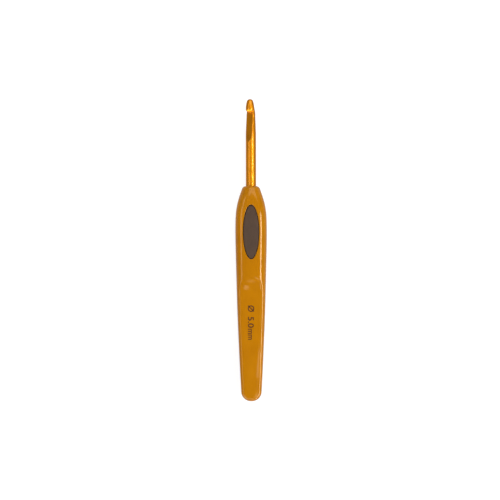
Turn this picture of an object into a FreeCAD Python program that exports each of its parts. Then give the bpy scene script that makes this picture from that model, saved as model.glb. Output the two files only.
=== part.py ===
import FreeCAD, Part
import math
import os

import Sketcher
from FreeCAD import Placement, Rotation, Vector

# Crochet hook, 5.0 mm, with a moulded handle. Millimetres.
# The hook lies on its back: +Z goes up through the thumb rest, +Y points along the shaft to the
# tip and the origin is under the middle of the whole hook, on the surface it lies on.
# "Station" is the distance back from the handle's mouth, where the shaft comes out.
# "From tip" is the distance back from the tip of the head.

SIZES = [
    # shaft
    ("shank_radius", 2.5),
    ("shaft_reach", 42.8),  # mouth of the handle to the tip
    ("axis_height", 5.8),
    ("neck_radius", 2.22),
    ("neck_front", 9.0),  # from tip
    ("neck_back", 17.0),  # from tip
    ("back_start", 8.0),  # from tip, where the shaft's own back starts to curve in
    ("back_end", 2.5),  # from tip
    ("back_curve", 14.2),
    # head
    ("head_radius", 2.09),
    ("head_lift", 0.62),  # the head's own axis, towards the throat
    ("head_widest", 4.6),  # from tip
    ("nose_radius", 1.65),
    ("head_heel", 1.5),  # rounding at the back of the head
    ("head_seat", 4.2),  # from tip, where the neck stops above the throat's floor
    # throat
    ("throat_turn", 38),  # degrees to the left of the thumb rest
    ("throat_corner", 5.3),  # from tip
    ("throat_floor", 0.75),  # above the shaft's axis, under the lip
    ("throat_run", 12.2),  # floor length
    ("throat_rise", 0.75),
    ("runout_radius", 7.5),
    ("lip_lean", 1.1),  # how far the wall under the lip leans back
    ("throat_fillet", 0.45),
    ("throat_top", 4.0),
    # tang, inside the handle
    ("tang_length", 39.0),
    ("tang_radius", 2.3),
    ("tang_chamfer", 0.6),
    ("shoulder_station", 0.0),
    ("flat_station", 9.0),
    ("flat_length", 12.0),
    ("flat_height", 1.8),
    ("groove_station", 26.0),
    ("groove_pitch", 5.0),
    ("groove_width", 1.6),
    ("groove_depth", 0.45),
    # handle
    ("handle_length", 105.8),
    ("wall", 1.4),
    ("core_end", 100.6),  # station
    ("mouth_round", 1.25),
    ("tail_round", 4.5),  # seen from above
    ("tail_ease", 2.6),  # seen from the side
    ("round_power", 2.0),  # section at the mouth: a circle
    ("body_power", 3.0),  # section past the nose: a soft rounded oblong
    ("power_length", 14.0),
    ("bore_gap", 0.03),
    # parting line between the two shells
    ("parting_bend", 40.0),  # station
    ("parting_tail", 3.5),  # height at the tail
    # thumb rest
    ("rest_start", 51.6),  # station where the ramp meets the floor
    ("rest_height", 9.63),  # floor height there
    ("rest_fall", 0.0535),  # drop for each millimetre towards the tail
    ("rest_dish", 40.0),  # radius across
    ("rest_ramp", 15.3),  # radius of the ramp
    ("rest_reach", 8.5),  # half width of the cutting shape
    ("rest_length", 60.0),
    # grip inlays
    ("inlay_station", 22.5),
    ("inlay_width", 7.9),
    ("inlay_length", 26.5),
    ("inlay_recess", 0.15),
    ("inlay_gap", 0.12),
    ("flange_lip", 0.7),
    ("flange_bed", 3.1),  # height of the flange's bed from the shaft's axis
    # pegs that join the shells
    ("peg_first", 60.0),  # station
    ("peg_pitch", 32.0),
    ("peg_radius", 0.9),
    ("peg_length", 1.8),
    ("socket_wall", 0.8),
    ("peg_gap", 0.05),
]

# Handle sections: name, station, half width, top, bottom.
SECTIONS = [
    ("mouth", 0.0, 3.95, 9.75, 1.85),
    ("collar", 3.2, 5.1, 10.6, 1.0),
    ("nose", 7.0, 6.33, 11.15, 0.4),
    ("cheek", 11.0, 7.2, 11.45, -0.05),
    ("bulge", 19.0, 7.74, 11.65, -0.25),
    ("waist", 32.0, 7.62, 11.6, -0.25),
    ("thumb", 46.0, 7.29, 11.22, -0.25),
    ("palm", 62.0, 6.84, 10.42, -0.25),
    ("heel", 78.0, 6.2, 9.3, -0.25),
    ("taper", 93.0, 5.48, 8.1, -0.25),
    ("tail", 105.8, 4.78, 7.1, -0.25),
]
ROUND_STEPS = 5  # sections in each rounded end
BODY_STEP = 7.0  # usual gap between sections elsewhere
STEP_GROWTH = 1.3  # sections lie closer together towards the nose
RING_POINTS = 24
SEAM_ANGLE = -math.pi / 3  # the form's own seam runs along the lower right, clear of every cut

# Cutting blocks are this much larger than the piece they cut.
ACROSS = "40"
ABOVE = "20"
BELOW = "-2"
BORE_DEPTH = "10"  # half of it in front of the mouth

doc = FreeCAD.newDocument("crochet_hook")
sheet = doc.addObject("Spreadsheet::Sheet", "sizes")


def fill_sheet():
    """One cell with an alias for each size, and four for each handle section."""
    rows = list(SIZES)
    for name, station, width, top, bottom in SECTIONS:
        rows.append((name + "_station", station))
        rows.append((name + "_half_width", width))
        rows.append((name + "_top", top))
        rows.append((name + "_bottom", bottom))
    for row, (alias, value) in enumerate(rows, start=1):
        sheet.set(f"A{row}", alias)
        sheet.set(f"B{row}", str(value))
        sheet.setAlias(f"B{row}", alias)
    doc.recompute()


def size(alias):
    return float(sheet.get(alias))


def value_of(text):
    """The number that an expression on the sheet gives."""
    result = sheet.evalExpression(text)
    return float(getattr(result, "Value", result))


# Places along Y, as expressions.
MOUTH = "(sizes.handle_length - sizes.shaft_reach) / 2"
TIP = "(sizes.handle_length + sizes.shaft_reach) / 2"


# ---------------------------------------------------------------- sketch and feature helpers


def new_body(name):
    return doc.addObject("PartDesign::Body", name)


def plane_of(body, role):
    for feature in body.Origin.OriginFeatures:
        if feature.Role == role:
            return feature
    raise ValueError(role)


def new_sketch(body, name, role):
    sketch = body.newObject("Sketcher::SketchObject", name)
    sketch.AttachmentSupport = [(plane_of(body, role), "")]
    sketch.MapMode = "FlatFace"
    return sketch


def bind_distance(sketch, kind, geometry, point, text):
    """Ties one coordinate of a sketch point to the sheet."""
    value = value_of(text)
    if abs(value) < 1e-9:
        axis = -2 if kind == "DistanceX" else -1
        sketch.addConstraint(Sketcher.Constraint("PointOnObject", geometry, point, axis))
        return
    number = sketch.addConstraint(Sketcher.Constraint(kind, -1, 1, geometry, point, value))
    label = f"size_{number}"
    sketch.renameConstraint(number, label)
    sketch.setExpression("Constraints." + label, text)


def bind_point(sketch, geometry, point, across, along):
    bind_distance(sketch, "DistanceX", geometry, point, across)
    bind_distance(sketch, "DistanceY", geometry, point, along)


def bind_radius(sketch, geometry, text):
    number = sketch.addConstraint(Sketcher.Constraint("Radius", geometry, value_of(text)))
    label = f"radius_{number}"
    sketch.renameConstraint(number, label)
    sketch.setExpression("Constraints." + label, text)


def join(sketch, first, first_end, second, second_end, kind="Coincident"):
    sketch.addConstraint(Sketcher.Constraint(kind, first, first_end, second, second_end))


def polygon(sketch, corners):
    """A closed run of lines. Each corner is a pair of expressions, both tied to the sheet."""
    places = [Vector(value_of(a), value_of(b), 0) for a, b in corners]
    count = len(corners)
    first = sketch.GeometryCount
    for i in range(count):
        sketch.addGeometry(Part.LineSegment(places[i], places[(i + 1) % count]))
    for i in range(count):
        join(sketch, first + i, 2, first + (i + 1) % count, 1)
        bind_point(sketch, first + i, 1, *corners[i])


def boolean(kind, name, base, *tools):
    """Part::Cut, Part::MultiFuse or Part::MultiCommon of document objects."""
    result = doc.addObject(kind, name)
    if kind == "Part::Cut":
        result.Base = base
        result.Tool = tools[0]
    else:
        result.Shapes = [base, *tools]
    result.Refine = False
    return result


def cut(name, base, tool):
    return boolean("Part::Cut", name, base, tool)


def fuse(name, base, *tools):
    return boolean("Part::MultiFuse", name, base, *tools)


def common(name, base, *tools):
    return boolean("Part::MultiCommon", name, base, *tools)


def bind(item, **texts):
    """Ties properties to the sheet. A double underscore stands for a dot in the property's path."""
    for path, text in texts.items():
        item.setExpression(path.replace("__", "."), text)


# ---------------------------------------------------------------- hook shaft


def make_rod(body):
    """Tang, shank and neck: one turned profile about Y."""
    sketch = new_sketch(body, "rod_profile", "XY_Plane")
    tang_end = f"{MOUTH} - sizes.tang_length"
    shoulder = f"{MOUTH} - sizes.shoulder_station"
    polygon(
        sketch,
        [
            ("0", tang_end),
            ("sizes.tang_radius - sizes.tang_chamfer", tang_end),
            ("sizes.tang_radius", tang_end + " + sizes.tang_chamfer"),
            ("sizes.tang_radius", shoulder),
            ("sizes.shank_radius", shoulder),
            ("sizes.shank_radius", f"{TIP} - sizes.neck_back"),
            ("sizes.neck_radius", f"{TIP} - sizes.neck_front"),
            ("sizes.neck_radius", f"{TIP} - sizes.back_start"),
            ("0", f"{TIP} - sizes.back_start"),
        ],
    )
    rod = body.newObject("PartDesign::Revolution", "rod")
    rod.Profile = sketch
    rod.ReferenceAxis = (sketch, ["V_Axis"])
    rod.Angle = 360


def make_back(body):
    """Carries the back of the shaft on to the nose in one long curve, below the head."""
    sketch = new_sketch(body, "back_profile", "XY_Plane")
    start = f"{TIP} - sizes.back_start"
    end = f"{TIP} - sizes.back_end"
    radius = size("back_curve")
    centre = Vector(size("neck_radius") - radius, value_of(start), 0)
    turn = math.asin((size("back_start") - size("back_end")) / radius)
    circle = Part.Circle(centre, Vector(0, 0, 1), radius)
    rim = centre + Vector(math.cos(turn), math.sin(turn), 0) * radius
    inner = Vector(0, rim.y, 0)
    root = Vector(0, centre.y, 0)
    sketch.addGeometry(Part.ArcOfCircle(circle, 0, turn))
    sketch.addGeometry(Part.LineSegment(rim, inner))
    sketch.addGeometry(Part.LineSegment(inner, root))
    sketch.addGeometry(Part.LineSegment(root, centre + Vector(radius, 0, 0)))
    join(sketch, 0, 2, 1, 1)
    join(sketch, 1, 2, 2, 1)
    join(sketch, 2, 2, 3, 1)
    join(sketch, 3, 2, 0, 1)
    bind_radius(sketch, 0, "sizes.back_curve")
    bind_distance(sketch, "DistanceY", 0, 3, start)
    bind_point(sketch, 0, 1, "sizes.neck_radius", start)
    bind_distance(sketch, "DistanceY", 0, 2, end)
    bind_point(sketch, 1, 2, "0", end)
    bind_point(sketch, 2, 2, "0", start)
    back = body.newObject("PartDesign::Revolution", "back")
    back.Profile = sketch
    back.ReferenceAxis = (sketch, ["V_Axis"])
    back.Angle = 360


def clear_neck(body):
    """Takes the neck away above the throat's floor, so that the head's own heel forms the lip."""
    sketch = new_sketch(body, "head_seat_profile", "YZ_Plane")
    front = f"{TIP} - sizes.head_seat"
    back = f"{TIP} - sizes.throat_corner - 1"
    floor = "sizes.throat_floor"
    top = "sizes.throat_top"
    polygon(sketch, [(back, floor), (front, floor), (front, top), (back, top)])
    doc.recompute()
    pocket_across(body, sketch, "head_seat")


def make_head(body):
    """The head is turned about its own axis, which lies towards the throat from the shaft's."""
    sketch = new_sketch(body, "head_profile", "YZ_Plane")
    tip = value_of(TIP)
    lift = size("head_lift")
    nose = size("nose_radius")
    widest = size("head_widest")
    radius = size("head_radius")
    heel = size("head_heel")
    ogive = ((widest - nose) ** 2 + radius**2 - nose**2) / (2 * (radius - nose))
    nose_centre = Vector(tip - nose, lift, 0)
    ogive_centre = Vector(tip - widest, lift + radius - ogive, 0)
    heel_centre = Vector(tip - widest, lift + radius - heel, 0)
    turn = math.atan2(nose_centre.y - ogive_centre.y, nose_centre.x - ogive_centre.x)
    up = Vector(0, 0, 1)
    quarter = math.pi / 2
    arcs = [(nose_centre, nose, 0, turn), (ogive_centre, ogive, turn, quarter)]
    arcs.append((heel_centre, heel, quarter, math.pi))
    for centre, arc_radius, start, end in arcs:
        sketch.addGeometry(Part.ArcOfCircle(Part.Circle(centre, up, arc_radius), start, end))
    back = Vector(heel_centre.x - heel, heel_centre.y, 0)
    foot = Vector(back.x, lift, 0)
    sketch.addGeometry(Part.LineSegment(back, foot))
    sketch.addGeometry(Part.LineSegment(foot, Vector(tip, lift, 0)))
    join(sketch, 0, 2, 1, 1, "Tangent")
    join(sketch, 1, 2, 2, 1, "Tangent")
    join(sketch, 2, 2, 3, 1, "Tangent")
    join(sketch, 3, 2, 4, 1)
    join(sketch, 4, 2, 0, 1)
    bind_point(sketch, 4, 2, TIP, "sizes.head_lift")
    bind_distance(sketch, "DistanceY", 4, 1, "sizes.head_lift")
    bind_distance(sketch, "DistanceY", 0, 3, "sizes.head_lift")
    bind_radius(sketch, 0, "sizes.nose_radius")
    bind_radius(sketch, 2, "sizes.head_heel")
    bind_point(sketch, 1, 2, f"{TIP} - sizes.head_widest", "sizes.head_lift + sizes.head_radius")
    sketch.addConstraint(Sketcher.Constraint("Vertical", 1, 3, 1, 2))
    sketch.addConstraint(Sketcher.Constraint("Vertical", 3))
    axis = sketch.addGeometry(Part.LineSegment(foot, Vector(tip, lift, 0)), True)
    join(sketch, axis, 1, 4, 1)
    join(sketch, axis, 2, 4, 2)
    head = body.newObject("PartDesign::Revolution", "head")
    head.Profile = sketch
    head.ReferenceAxis = (sketch, ["Axis0"])
    head.Angle = 360


def pocket_across(body, sketch, name):
    """Cuts a side outline through the whole width of the shaft."""
    before = body.Shape.Volume
    pocket = body.newObject("PartDesign::Pocket", name)
    pocket.Profile = sketch
    pocket.Midplane = True
    pocket.Type = 0
    pocket.Length = float(ACROSS)
    doc.recompute()
    if body.Shape.Volume >= before:
        raise RuntimeError(name + " removed nothing")
    return pocket


def make_throat(body):
    """A nearly flat floor, a wall that leans back under the lip and a curved run-out."""
    sketch = new_sketch(body, "throat_profile", "YZ_Plane")
    corner = f"{TIP} - sizes.throat_corner"
    floor_end = f"{corner} - sizes.throat_run"
    rise = "sizes.throat_floor + sizes.throat_rise"
    slope = math.atan2(size("throat_rise"), size("throat_run"))
    radius = size("runout_radius")
    end = Vector(value_of(floor_end), value_of(rise), 0)
    centre = end + Vector(math.sin(slope), math.cos(slope), 0) * radius
    top = size("throat_top")
    finish = math.asin((top - centre.y) / radius)
    arc = Part.ArcOfCircle(
        Part.Circle(centre, Vector(0, 0, 1), radius), math.pi - finish, 1.5 * math.pi - slope
    )
    far = Vector(centre.x - radius * math.cos(finish), top, 0)
    inner = Vector(value_of(corner), size("throat_floor"), 0)
    lip = Vector(inner.x - size("lip_lean"), top, 0)
    sketch.addGeometry(arc)
    sketch.addGeometry(Part.LineSegment(end, inner))
    sketch.addGeometry(Part.LineSegment(inner, lip))
    sketch.addGeometry(Part.LineSegment(lip, far))
    join(sketch, 0, 2, 1, 1, "Tangent")
    join(sketch, 1, 2, 2, 1)
    join(sketch, 2, 2, 3, 1)
    join(sketch, 3, 2, 0, 1)
    bind_point(sketch, 1, 1, floor_end, rise)
    bind_point(sketch, 1, 2, corner, "sizes.throat_floor")
    bind_point(sketch, 2, 2, corner + " - sizes.lip_lean", "sizes.throat_top")
    bind_radius(sketch, 0, "sizes.runout_radius")
    sketch.addConstraint(Sketcher.Constraint("Horizontal", 3))
    doc.recompute()
    pocket_across(body, sketch, "throat")


def ease_throat(body):
    """Rounds the corner between the floor and the wall under the lip."""
    place = Vector(0, value_of(f"{TIP} - sizes.throat_corner"), size("throat_floor"))
    tip_feature = body.Tip
    for number, edge in enumerate(tip_feature.Shape.Edges, start=1):
        middle = edge.valueAt((edge.FirstParameter + edge.LastParameter) / 2)
        if (middle - place).Length < 0.05:
            fillet = body.newObject("PartDesign::Fillet", "throat_corner")
            fillet.Base = (tip_feature, [f"Edge{number}"])
            bind(fillet, Radius="sizes.throat_fillet")
            return
    raise RuntimeError("throat corner not found")


def make_tang(body):
    """Two flats that stop the shaft turning, and ring grooves that stop it pulling out."""
    flats = new_sketch(body, "tang_flats_profile", "YZ_Plane")
    front = f"{MOUTH} - sizes.flat_station"
    back = f"{front} - sizes.flat_length"
    for sign in ("", "-"):
        near = f"{sign}sizes.flat_height"
        far = f"{sign}(sizes.shank_radius + 1)"
        polygon(flats, [(back, near), (front, near), (front, far), (back, far)])
    doc.recompute()
    pocket_across(body, flats, "tang_flats")
    rings = new_sketch(body, "tang_grooves_profile", "XY_Plane")
    deep = "sizes.tang_radius - sizes.groove_depth"
    wide = "sizes.shank_radius + 1"
    for i in range(3):
        front = f"{MOUTH} - sizes.groove_station - {i} * sizes.groove_pitch"
        back = f"{front} - sizes.groove_width"
        polygon(rings, [(deep, back), (wide, back), (wide, front), (deep, front)])
    before = body.Shape.Volume
    groove = body.newObject("PartDesign::Groove", "tang_grooves")
    groove.Profile = rings
    groove.ReferenceAxis = (rings, ["V_Axis"])
    groove.Angle = 360
    doc.recompute()
    if body.Shape.Volume >= before:
        raise RuntimeError("the grooves removed nothing")


def make_shaft():
    body = new_body("hook_shaft")
    make_rod(body)
    make_back(body)
    doc.recompute()
    clear_neck(body)
    make_head(body)
    doc.recompute()
    make_throat(body)
    ease_throat(body)
    make_tang(body)
    body.Placement = Placement(Vector(0, 0, 0), Rotation(Vector(0, -1, 0), size("throat_turn")))
    bind(body, Placement__Base__z="sizes.axis_height")
    return body


# ---------------------------------------------------------------- handle form


def spline_through(stations, values):
    """A natural cubic spline, as a function of the station."""
    count = len(stations)
    gap = [stations[i + 1] - stations[i] for i in range(count - 1)]
    rise = [(values[i + 1] - values[i]) / gap[i] for i in range(count - 1)]
    ratio = [0.0] * count
    bend = [0.0] * count
    for i in range(1, count - 1):
        pivot = 2 * (gap[i - 1] + gap[i]) - gap[i - 1] * ratio[i - 1]
        ratio[i] = gap[i] / pivot
        bend[i] = (6 * (rise[i] - rise[i - 1]) - gap[i - 1] * bend[i - 1]) / pivot
    for i in range(count - 2, 0, -1):
        bend[i] -= ratio[i] * bend[i + 1]

    def at(station):
        i = 0
        while i < count - 2 and station > stations[i + 1]:
            i += 1
        near = station - stations[i]
        far = stations[i + 1] - station
        ends = (bend[i] * far**3 + bend[i + 1] * near**3) / (6 * gap[i])
        left = (values[i] / gap[i] - bend[i] * gap[i] / 6) * far
        right = (values[i + 1] / gap[i] - bend[i + 1] * gap[i] / 6) * near
        return ends + left + right

    return at


def sink(station, start, radius):
    """How far a rounded end has drawn in, at a station past its start."""
    share = min(1.0, max(0.0, (station - start) / radius))
    return radius * (1 - math.sqrt(1 - share * share))


class HandleForm:
    """The handle's outer form drawn in by inset: oblong sections along Y, with a rounded mouth
    and tail, or with plain flat ends between two stations."""

    def __init__(self, inset, flat_ends=None):
        stations = [size(row[0] + "_station") for row in SECTIONS]
        self.half_width = spline_through(stations, self.column("_half_width"))
        self.top = spline_through(stations, self.column("_top"))
        self.bottom = spline_through(stations, self.column("_bottom"))
        self.inset = inset
        self.flat_ends = flat_ends
        self.front = inset
        self.back = size("handle_length") - inset
        self.mouth_round = size("mouth_round") - inset
        self.tail_round = size("tail_round") - inset
        self.tail_ease = size("tail_ease") - inset

    @staticmethod
    def column(ending):
        return [size(row[0] + ending) for row in SECTIONS]

    def oblong(self, station):
        """Half width, half height, middle height and power of the section."""
        lip = plan = side = 0
        if not self.flat_ends:
            lip = sink(self.front + self.mouth_round - station, 0, self.mouth_round)
            plan = sink(station, self.back - self.tail_round, self.tail_round)
            side = sink(station, self.back - self.tail_ease, self.tail_ease)
        top = self.top(station)
        bottom = self.bottom(station)
        half_width = self.half_width(station) - lip - plan - self.inset
        half_height = (top - bottom) / 2 - lip - side - self.inset
        share = min(1.0, station / size("power_length"))
        blend = share * share * (3 - 2 * share)
        power = size("round_power") + (size("body_power") - size("round_power")) * blend
        return half_width, half_height, (top + bottom) / 2, power

    def ring(self, station):
        half_width, half_height, middle, power = self.oblong(station)
        y = value_of(MOUTH) - station
        points = []
        for i in range(RING_POINTS):
            angle = 2 * math.pi * i / RING_POINTS + SEAM_ANGLE
            across = abs(math.cos(angle)) / half_width
            upward = abs(math.sin(angle)) / half_height
            reach = (across**power + upward**power) ** (-1 / power)
            points.append(Vector(reach * math.cos(angle), y, middle + reach * math.sin(angle)))
        curve = Part.BSplineCurve()
        even = [i / RING_POINTS for i in range(RING_POINTS + 1)]
        curve.interpolate(Points=points, PeriodicFlag=True, Parameters=even)
        return Part.Wire(curve.toShape())

    def stations(self):
        if self.flat_ends:
            front = [self.flat_ends[0]]
            back = [self.flat_ends[1]]
        else:
            steps = [math.sin(math.pi / 2 * i / ROUND_STEPS) for i in range(ROUND_STEPS + 1)]
            front = [self.front + self.mouth_round * (1 - step) for step in steps]
            back = [self.back - self.tail_round * (1 - step) for step in steps]
        gap = back[0] - front[0]
        count = math.ceil(gap / BODY_STEP)
        middle = [front[0] + gap * (i / count) ** STEP_GROWTH for i in range(1, count)]
        return sorted(front + middle + back)

    def solid(self):
        return Part.makeLoft([self.ring(s) for s in self.stations()], True, False, False, 3)


def make_form(name, form):
    item = doc.addObject("Part::Feature", name)
    item.Shape = form.solid()
    return item


def slab_above(name, height):
    """Everything above a level, so that a form rests on a flat land."""
    slab = doc.addObject("Part::Box", name)
    bind(slab, Length=ACROSS, Width="sizes.handle_length + 20", Height=ACROSS)
    bind(slab, Placement__Base__x=f"-{ACROSS} / 2", Placement__Base__z=height)
    bind(slab, Placement__Base__y=f"{MOUTH} - sizes.handle_length - 10")
    return slab


def make_rest_cutter(name, extra):
    """The thumb rest: a shallow dish along the handle that curves up into a ramp at its front.
    extra is an expression that sets the surface further down, for the wall under it."""
    body = new_body(name)
    sketch = new_sketch(body, name + "_profile", "XZ_Plane")
    dish = f"(sizes.rest_dish + {extra})"
    depth = f"-({extra})"
    reach = value_of("sizes.rest_reach")
    dish_radius = value_of(dish)
    lift = value_of("sizes.rest_dish")
    half = math.asin(reach / dish_radius)
    ramp = value_of("sizes.rest_ramp")
    circle = Part.Circle(Vector(0, lift, 0), Vector(0, 0, 1), dish_radius)
    arc = Part.ArcOfCircle(circle, 1.5 * math.pi - half, 1.5 * math.pi + half)
    edge = lift - dish_radius * math.cos(half)
    left = Vector(-reach, edge, 0)
    right = Vector(reach, edge, 0)
    sketch.addGeometry(arc)
    sketch.addGeometry(Part.LineSegment(right, Vector(reach, ramp, 0)))
    sketch.addGeometry(Part.LineSegment(Vector(reach, ramp, 0), Vector(-reach, ramp, 0)))
    sketch.addGeometry(Part.LineSegment(Vector(-reach, ramp, 0), left))
    join(sketch, 0, 2, 1, 1)
    join(sketch, 1, 2, 2, 1)
    join(sketch, 2, 2, 3, 1)
    join(sketch, 3, 2, 0, 1)
    bind_radius(sketch, 0, dish)
    bind_point(sketch, 0, 3, "0", f"{dish} + {depth}")
    bind_point(sketch, 2, 1, "sizes.rest_reach", "sizes.rest_ramp")
    bind_point(sketch, 2, 2, "-sizes.rest_reach", "sizes.rest_ramp")
    sketch.addConstraint(Sketcher.Constraint("Vertical", 1))
    sketch.addConstraint(Sketcher.Constraint("Vertical", 3))
    run = body.newObject("PartDesign::Pad", name + "_run")
    run.Profile = sketch
    bind(run, Length="sizes.rest_length")
    axis = sketch.addGeometry(
        Part.LineSegment(Vector(-reach, ramp, 0), Vector(reach, ramp, 0)), True
    )
    join(sketch, axis, 1, 2, 2)
    join(sketch, axis, 2, 2, 1)
    doc.recompute()
    ramp_turn = body.newObject("PartDesign::Revolution", name + "_ramp")
    ramp_turn.Profile = sketch
    ramp_turn.ReferenceAxis = (sketch, ["Axis0"])
    ramp_turn.Angle = 90
    doc.recompute()
    return body


def place_rest_cutter(body):
    """Puts the cutter's own origin at the foot of the ramp and tips it down towards the tail."""
    tilt = Rotation(Vector(1, 0, 0), math.degrees(math.atan(size("rest_fall"))))
    body.Placement = Placement(Vector(0, 0, 0), tilt)
    bind(body, Placement__Base__y=f"{MOUTH} - sizes.rest_start")
    bind(body, Placement__Base__z="sizes.rest_height")


def make_front_region():
    """Everything in front of the parting line, which follows the handle's widest level."""
    body = new_body("front_region")
    sketch = new_sketch(body, "parting_profile", "YZ_Plane")
    start = f"{MOUTH} + 5"
    bend = f"{MOUTH} - sizes.parting_bend"
    tail = f"{MOUTH} - sizes.handle_length"
    polygon(
        sketch,
        [
            (start, "sizes.axis_height"),
            (start, ABOVE),
            (f"{tail} - 5", ABOVE),
            (f"{tail} - 5", "sizes.parting_tail"),
            (tail, "sizes.parting_tail"),
            (bend, "sizes.axis_height"),
        ],
    )
    pad = body.newObject("PartDesign::Pad", "front_block")
    pad.Profile = sketch
    pad.Midplane = True
    bind(pad, Length=ACROSS)
    doc.recompute()
    return body


def make_oval(name, margin, low, high):
    """An upright oval block at the inlays' station. margin widens it on every side."""
    body = new_body(name)
    sketch = new_sketch(body, name + "_outline", "XY_Plane")
    long_half = f"sizes.inlay_length / 2 + {margin}"
    short_half = f"sizes.inlay_width / 2 + {margin}"
    middle = f"{MOUTH} - sizes.inlay_station"
    centre = Vector(0, value_of(middle), 0)
    end = centre + Vector(0, value_of(long_half), 0)
    side = centre + Vector(-value_of(short_half), 0, 0)
    sketch.addGeometry(Part.Ellipse(end, side, centre))
    sketch.exposeInternalGeometry(0)
    bind_point(sketch, 0, 3, "0", middle)
    sketch.addConstraint(Sketcher.Constraint("Vertical", 1))
    bind_distance(sketch, "DistanceY", 1, 1, f"{middle} + {long_half}")
    bind_distance(sketch, "DistanceX", 2, 1, f"-({short_half})")
    pad = body.newObject("PartDesign::Pad", name + "_block")
    pad.Profile = sketch
    bind(pad, Length=f"{high} - {low}")
    bind(body, Placement__Base__z=low)
    doc.recompute()
    return body


def make_bore():
    """The round hole in the shells that the shaft comes out of."""
    bore = doc.addObject("Part::Cylinder", "mouth_bore")
    bore.Placement = Placement(Vector(0, 0, 0), Rotation(Vector(1, 0, 0), -90))
    bind(bore, Radius="sizes.shank_radius + sizes.bore_gap", Height=BORE_DEPTH)
    bind(bore, Placement__Base__y=f"{MOUTH} - {BORE_DEPTH} / 2")
    bind(bore, Placement__Base__z="sizes.axis_height")
    return bore


def parting_height(station):
    """Expression for the parting line's height at a station past the bend."""
    fall = "(sizes.axis_height - sizes.parting_tail) / (sizes.handle_length - sizes.parting_bend)"
    return f"(sizes.axis_height - ({station} - sizes.parting_bend) * {fall})"


def upright(name, station, radius, low, high):
    """A round upright block on the middle line."""
    post = doc.addObject("Part::Cylinder", name)
    bind(post, Radius=radius, Height=f"{high} - {low}")
    bind(post, Placement__Base__y=f"{MOUTH} - ({station})", Placement__Base__z=low)
    return post


def make_joinery():
    """Pegs, the sockets they enter and the holes they pass through in the core."""
    pegs = []
    posts = []
    holes = []
    channels = []
    for i in range(2):
        station = f"sizes.peg_first + {i} * sizes.peg_pitch"
        line = parting_height(f"({station})")
        outer = "sizes.peg_radius + sizes.peg_gap + sizes.socket_wall"
        hole = "sizes.peg_radius + sizes.peg_gap"
        floor = "sizes.wall / 2"
        dish = f"(sizes.rest_height - ({station} - sizes.rest_start) * sizes.rest_fall)"
        ceiling = f"({dish} - sizes.wall / 2)"
        tip = f"({line} - sizes.peg_length)"
        pegs.append(upright(f"peg_{i}", station, "sizes.peg_radius", tip, ceiling))
        posts.append(upright(f"socket_post_{i}", station, outer, floor, line))
        holes.append(upright(f"socket_hole_{i}", station, hole, f"({tip} - 0.2)", f"({line} + 1)"))
        clear = outer + " + sizes.peg_gap"
        channels.append(upright(f"core_hole_{i}", station, clear, BELOW, ABOVE))
    return pegs, posts, holes, channels


def make_handle(shaft):
    skin = make_form("handle_skin", HandleForm(0))
    inlay_skin = make_form("inlay_skin", HandleForm(size("inlay_recess")))
    core_ends = (size("wall"), size("core_end"))
    core_skin = make_form("core_skin", HandleForm(size("wall"), core_ends))
    doc.recompute()
    rest = make_rest_cutter("thumb_rest", "0")
    place_rest_cutter(rest)
    core_rest = make_rest_cutter("core_rest", "sizes.wall")
    place_rest_cutter(core_rest)
    front = make_front_region()
    landed = common("landed_form", skin, slab_above("rest_level", "0"))
    outer = cut("outer_form", landed, rest)
    inner = cut("inner_form", core_skin, core_rest)
    bore = make_bore()
    pegs, posts, holes, channels = make_joinery()

    above = "(sizes.axis_height + sizes.flange_bed)"
    below = "(sizes.axis_height - sizes.flange_bed)"
    plain = "0"
    gap = "sizes.inlay_gap"
    flange = "sizes.flange_lip"
    sides = {"front": (above, ABOVE), "back": (BELOW, below)}
    inlays = {}
    windows = {}
    beds = []
    recessed = common("recessed_form", inlay_skin, slab_above("inlay_level", "sizes.inlay_recess"))
    for side, (low, high) in sides.items():
        windows[side] = make_oval(f"{side}_window", gap, low, high)
        plug = common(f"{side}_plug", make_oval(f"{side}_oval", plain, low, high), recessed)
        bed = make_oval(f"{side}_bed", flange, low, high)
        foot = common(f"{side}_foot", bed, inner)
        beds.append(bed)
        inlays[side] = fuse(f"{side}_inlay", plug, foot)

    halves = {"front": common("front_half", outer, front), "back": cut("back_half", outer, front)}
    open_halves = {}
    for side, half in halves.items():
        walls = cut(f"{side}_walls", half, inner)
        bored = cut(f"{side}_bored", walls, bore)
        open_halves[side] = cut(f"{side}_open", bored, windows[side])
    front_shell = fuse("front_joined", open_halves["front"], *pegs)
    sockets = fuse("back_joined", open_halves["back"], *posts)
    back_shell = cut("back_socketed", sockets, fuse("socket_holes", *holes))
    tools = fuse("core_tools", shaft, *beds, *channels)
    core = cut("tang_core", inner, tools)
    doc.recompute()
    return {
        "front_shell": front_shell,
        "back_shell": back_shell,
        "tang_core": core,
        "front_grip_inlay": inlays["front"],
        "back_grip_inlay": inlays["back"],
    }


def check_document(pieces):
    """Stops before anything is written if an object failed or a piece isn't sound solids."""
    for item in doc.Objects:
        if "Invalid" in item.State or "Error" in item.State:
            raise RuntimeError(f"{item.Name} failed: {item.State}")
    for label, piece in pieces.items():
        shape = piece.Shape
        if shape.isNull() or not shape.isValid() or not shape.Solids:
            raise RuntimeError(label + " has no sound solid")
        print(f"{label}: {len(shape.Solids)} solid, {shape.Volume:.1f} mm3, {shape.BoundBox}")


def main():
    fill_sheet()
    shaft = make_shaft()
    doc.recompute()
    pieces = {"hook_shaft": shaft}
    pieces.update(make_handle(shaft))
    doc.recompute()
    check_document(pieces)
    os.makedirs("parts", exist_ok=True)
    for label, piece in pieces.items():
        piece.Label = label
        piece.Shape.exportStep(f"parts/{label}.step")


main()
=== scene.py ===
import math

import bmesh
import bpy
import numpy as np
from mathutils import Matrix, Vector


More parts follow.
